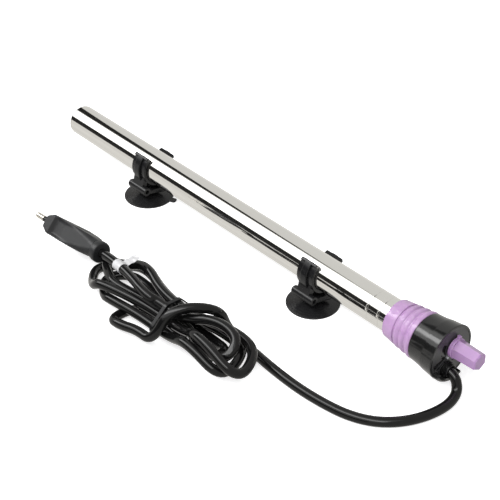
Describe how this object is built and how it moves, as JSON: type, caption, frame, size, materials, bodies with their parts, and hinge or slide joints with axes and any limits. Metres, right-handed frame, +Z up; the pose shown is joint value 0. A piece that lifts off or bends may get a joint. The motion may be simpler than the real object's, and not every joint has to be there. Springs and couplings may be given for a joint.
{
  "type": "submersible aquarium heater",
  "caption": "Slim steel-tube aquarium heater with a temperature knob, suction-cup holders and a tied mains lead with a flat two-pin plug.",
  "frame": {"origin": "centre of the bottom of the box round the heater, its holders and cups, on the surface that the cups stand on; the lead and the plug lie in front of it", "axes": "+X runs along the tube from its closed end towards the head and knob, +Z points up from the suction cups, and the lead lies towards -Y"},
  "size_m": [0.3788, 0.1365, 0.0421],
  "materials": {
    "polished_steel": "mirror polished stainless steel",
    "ceramic": "unglazed ceramic",
    "mica": "mica sheet",
    "resistance_wire": "drawn wire",
    "board": "moulded phenolic",
    "spring_bronze": "spring bronze",
    "contact_silver": "silver alloy",
    "magnet_steel": "ground ferrite",
    "capacitor_case": "moulded case",
    "nut_plastic": "moulded nylon",
    "lilac_rubber": "smooth glossy rubber",
    "head_plastic": "gloss black",
    "seal_rubber": "smooth",
    "wire_insulation": "insulated wire",
    "gland_rubber": "satin",
    "screw_steel": "blackened",
    "lens_clear": "clear",
    "lamp_glass": "clear",
    "lilac_plastic": "slightly translucent gloss",
    "shaft_plastic": "moulded",
    "clip_steel": "spring steel",
    "holder_plastic": "satin black",
    "cup_rubber": "satin black",
    "cord_pvc": "glossy black sheath",
    "tie_plastic": "black",
    "label_white": "white film, bare",
    "plug_plastic": "matt dark grey",
    "pin_metal": "nickel plated",
    "sleeve_plastic": "black sleeve"
  },
  "bodies": {
    "heater": {"tube": "polished_steel", "ceramic_core": "ceramic", "end_pad": "ceramic", "mica_discs": "mica", "heating_wires": "resistance_wire", "heater_leads": "resistance_wire", "thermostat_frame": "board", "bimetal_strip": "spring_bronze", "bimetal_contact": "contact_silver", "magnet": "magnet_steel", "capacitor": "capacitor_case", "boot": "lilac_rubber", "head": "head_plastic", "end_cover": "head_plastic", "spigot_rings": "seal_rubber", "supply_wires": "wire_insulation", "cord_gland": "gland_rubber", "cover_screw": "screw_steel", "pilot_lens": "lens_clear", "pilot_lamp": "lamp_glass", "cord": "cord_pvc", "cord_hank": "cord_pvc", "cord_tail": "cord_pvc", "cord_tie": "tie_plastic", "cord_label": "label_white", "plug_body": "plug_plastic", "plug_pins": "pin_metal", "pin_sleeves": "sleeve_plastic"},
    "knob": {"knob": "lilac_plastic", "knob_shaft": "shaft_plastic", "shaft_clip": "clip_steel", "shaft_ring": "seal_rubber"},
    "nut": {"adjusting_nut": "nut_plastic"},
    "arm": {"contact_arm": "spring_bronze", "arm_contact": "contact_silver"},
    "holder_far": {"holder_far": "holder_plastic"},
    "holder_near": {"holder_near": "holder_plastic"},
    "cup_far": {"cup_far": "cup_rubber"},
    "cup_near": {"cup_near": "cup_rubber"}
  },
  "joints": [
    {"name": "knob_turn", "type": "hinge", "parent": "heater", "child": "knob", "pos_m": [0.18055, 0.00427, 0.0276], "axis": [1, 0, 0], "range_deg": [-135, 135]},
    {"name": "nut_travel", "type": "slide", "parent": "heater", "child": "nut", "axis": [1, 0, 0], "range_m": [-0.0004, 0.0004]},
    {"name": "arm_press", "type": "hinge", "parent": "heater", "child": "arm", "pos_m": [0.08085, 0.00427, 0.02435], "axis": [0, 1, 0], "range_deg": [-0.7, 0.7]},
    {"name": "holder_far_slide", "type": "slide", "parent": "heater", "child": "holder_far", "axis": [1, 0, 0], "range_m": [-0.06, 0.06]},
    {"name": "holder_near_slide", "type": "slide", "parent": "heater", "child": "holder_near", "axis": [1, 0, 0], "range_m": [-0.06, 0.045]},
    {"name": "cup_far_tilt", "type": "hinge", "parent": "holder_far", "child": "cup_far", "pos_m": [-0.10485, -0.00262, 0.00766], "axis": [1, 0, 0], "range_deg": [-28, 0]},
    {"name": "cup_near_tilt", "type": "hinge", "parent": "holder_near", "child": "cup_near", "pos_m": [0.06195, -0.00262, 0.00766], "axis": [1, 0, 0], "range_deg": [-28, 0]}
  ],
  "couplings": [
    {"joint": "nut_travel", "follows": "knob_turn", "m_per_rad": 0.00012732},
    {"joint": "arm_press", "follows": "knob_turn", "ratio": -0.005}
  ]
}
